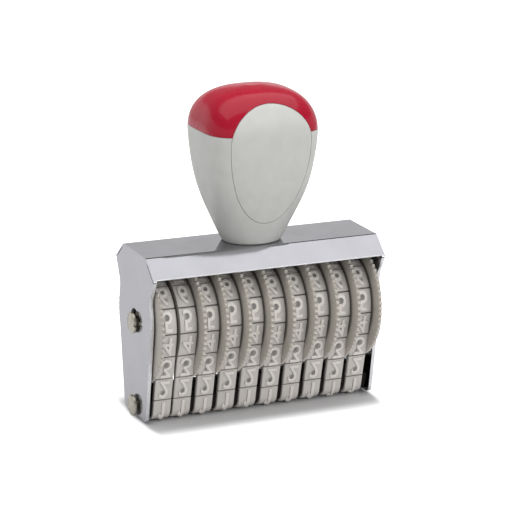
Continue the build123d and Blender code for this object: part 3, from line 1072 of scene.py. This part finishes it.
class NUMBERER_OT_pins(bpy.types.Operator):
    """Finish the axle, the tie rod and the rings on the axle"""

    bl_idname = "numberer.pins"
    bl_label = "Axle and tie rod"

    def execute(self, context):
        tones = context.scene.numberer_colours
        material = nickel_finish(tones.nickel)
        for node in ("end_washer", "handle_screw", "screw_washer"):
            dress(node, material)
        dress("spacer_disc", moulded_finish("dull_disc", tones.disc, 0.5, 2600.0, 0.00004))
        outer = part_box("frame")[1].x
        cheek = (outer - context.scene.numberer_sheet.thickness, outer)

        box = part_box("wheel_axle")
        axle = pin_shape(box, cheek, AXLE_RADIUS, AXLE_NECK, AXLE_RADIUS, AXLE_SOFT)
        z = middle_z(box)
        pits = [
            cylinder(PIT_RADIUS, (x, -2 * AXLE_RADIUS, z), (x, PIT_DEPTH - AXLE_RADIUS, z), 24)
            for x in (PIT_SET_IN - box[1].x, box[1].x - PIT_SET_IN)
        ]
        axle = combined(axle, pits, "DIFFERENCE")
        piece = piece_from(axle, "turned_axle", material, 40.0)
        hand_over(piece, MACHINE, "bright_steel", "wheel_axle")

        rod = pin_shape(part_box("tie_rod"), cheek, ROD_HEAD, ROD_SHAFT, ROD_SHAFT, ROD_SOFT)
        piece = piece_from(rod, "riveted_rod", material, 40.0)
        hand_over(piece, MACHINE, "bright_steel", "tie_rod")
        return {"FINISHED"}


class NUMBERER_OT_bridge(bpy.types.Operator):
    """Finish the bridge under the loops and the captive nut"""

    bl_idname = "numberer.bridge"
    bl_label = "Bridge and nut"

    def execute(self, context):
        tones = context.scene.numberer_colours
        dull = moulded_finish("bridge_plastic", tones.bridge, 0.6, 2600.0, 0.00004, 0.1)
        dress("bridge", dull)
        dress("handle_nut", brass_finish(tones.brass))
        return {"FINISHED"}


class NUMBERER_OT_grip(bpy.types.Operator):
    """Finish the grip with its cap and panels"""

    bl_idname = "numberer.grip"
    bl_label = "Grip"

    def execute(self, context):
        tones = context.scene.numberer_colours
        light = moulded_finish("grip_plastic", tones.grip, 0.42, 1800.0, 0.00005)
        for node in ("handle_body", "front_panel", "back_panel"):
            dress(node, light)
        dress("handle_cap", cap_finish(tones.cap))
        return {"FINISHED"}


# ------------ stage
FLOOR_HALF = 6.0
# name, place, aim, size, power, shown in reflections
LAMPS = (
    ("overhead", (0.05, 0.0, 0.9), (0.05, 0.0, 0.0), (1.5, 1.0), 6.3, True),
    ("back", (0.2, 0.9, 0.8), (0.0, 0.0, 0.0), (0.6, 0.4), 6.0, False),
    ("front", (0.3, -1.0, 0.55), (0.0, 0.0, 0.04), (0.6, 0.4), 3.1, True),
)
# the surroundings in reflections, from horizon to sky, and their light elsewhere
SKY_TONES = ((0.0, 0.72), (0.30, 0.72), (0.335, 0.2), (0.60, 0.2), (0.80, 0.1), (1.0, 0.1))
DIFFUSE_TONE = 0.60

CAMERA_TURN = math.radians(24.2)
CAMERA_RISE = math.radians(16.0)
CAMERA_ROLL = math.radians(0.68)
CAMERA_TARGET = Vector((0.0, 0.0, 0.0447))
# from the target: across, up and back
CAMERA_OFFSET = Vector((0.0014, -0.0019, 0.613))
CAMERA_LENS = 153.5
CAMERA_SHIFT = 1 / 512
CAMERA_CLIP = 0.01


def add_lamp(name, place, aim, size, power, mirrored):
    """Rectangular soft lamp at a place, aimed at a point."""
    data = bpy.data.lights.new(name, "AREA")
    data.shape = "RECTANGLE"
    data.size, data.size_y = size
    data.energy = power
    lamp = placed(name, data)
    lamp.location = place
    lamp.visible_glossy = mirrored
    lamp.rotation_euler = (Vector(aim) - Vector(place)).to_track_quat("-Z", "Y").to_euler()


def add_camera():
    """Camera with a slight roll, in front of the machine and to its left."""
    data = bpy.data.cameras.new("studio_camera")
    data.lens = CAMERA_LENS
    data.shift_y = CAMERA_SHIFT
    data.clip_start = CAMERA_CLIP
    camera = placed("studio_camera", data)
    turn = Matrix.Rotation(-CAMERA_TURN, 3, "Z")
    turn = turn @ Matrix.Rotation(math.pi / 2 - CAMERA_RISE, 3, "X")
    turn = turn @ Matrix.Rotation(CAMERA_ROLL, 3, "Z")
    place = CAMERA_TARGET + turn @ CAMERA_OFFSET
    camera.matrix_world = Matrix.Translation(place) @ turn.to_4x4()
    return camera


def studio_world():
    """Even light, white to the camera, with a dim band between horizon and sky in reflections."""
    world = bpy.data.worlds.new("studio")
    world.use_nodes = True
    tree = world.node_tree
    place = tree.nodes.new("ShaderNodeTexCoord").outputs["Generated"]
    split = tree.nodes.new("ShaderNodeSeparateXYZ")
    tree.links.new(place, split.inputs["Vector"])
    stops = [(position, grey(tone)) for position, tone in SKY_TONES]
    mirrored = tone_ramp(tree, split.outputs["Z"], stops)
    rays = tree.nodes.new("ShaderNodeLightPath").outputs
    lit = colour_mix(tree, rays["Is Glossy Ray"], grey(DIFFUSE_TONE), mirrored)
    seen = colour_mix(tree, rays["Is Camera Ray"], lit, grey(1.0))
    tree.links.new(seen, tree.nodes["Background"].inputs["Color"])
    return world


class NUMBERER_OT_stage(bpy.types.Operator):
    """Lay the floor, hang the lamps and set up the camera"""

    bl_idname = "numberer.stage"
    bl_label = "Stage"

    def execute(self, context):
        scene = context.scene
        bm = bmesh.new()
        bmesh.ops.create_grid(bm, x_segments=1, y_segments=1, size=FLOOR_HALF)
        floor = piece_from(bm, "studio_floor", floor_finish(scene.numberer_colours.floor))
        for lamp in LAMPS:
            add_lamp(*lamp)
        scene.world = studio_world()
        scene.view_settings.view_transform = "Standard"
        scene.camera = add_camera()
        return {"FINISHED"}


# ------------ panel and registration
class NUMBERER_PT_panel(bpy.types.Panel):
    """Lists the machine's pieces and their sizes"""

    bl_idname = "NUMBERER_PT_panel"
    bl_label = "Numbering machine"
    bl_space_type = "VIEW_3D"
    bl_region_type = "UI"
    bl_category = "Numberer"

    def draw(self, context):
        layout = self.layout
        for operator in OPERATORS:
            layout.operator(operator.bl_idname)
        for name in SETTINGS:
            settings = getattr(context.scene, name)
            box = layout.box()
            for prop in settings.__annotations__:
                box.prop(settings, prop)


OPERATORS = (
    NUMBERER_OT_stage,
    NUMBERER_OT_frame,
    NUMBERER_OT_wheels,
    NUMBERER_OT_bands,
    NUMBERER_OT_pins,
    NUMBERER_OT_bridge,
    NUMBERER_OT_grip,
)
SETTINGS = {
    "numberer_sheet": NumbererSheetSizes,
    "numberer_wheel": NumbererWheelSizes,
    "numberer_band": NumbererBandSizes,
    "numberer_colours": NumbererColours,
}
CLASSES = (*SETTINGS.values(), *OPERATORS, NUMBERER_PT_panel)


def register():
    """Register every class and hang the settings on the scene."""
    for kind in CLASSES:
        bpy.utils.register_class(kind)
    for name, settings in SETTINGS.items():
        setattr(bpy.types.Scene, name, PointerProperty(type=settings))


def unregister():
    """Undo what register does, in reverse."""
    for name in SETTINGS:
        delattr(bpy.types.Scene, name)
    for kind in reversed(CLASSES):
        bpy.utils.unregister_class(kind)


def main():
    """Build every piece."""
    register()
    for operator in OPERATORS:
        group, name = operator.bl_idname.split(".")
        getattr(getattr(bpy.ops, group), name)()


if __name__ == "__main__":
    main()
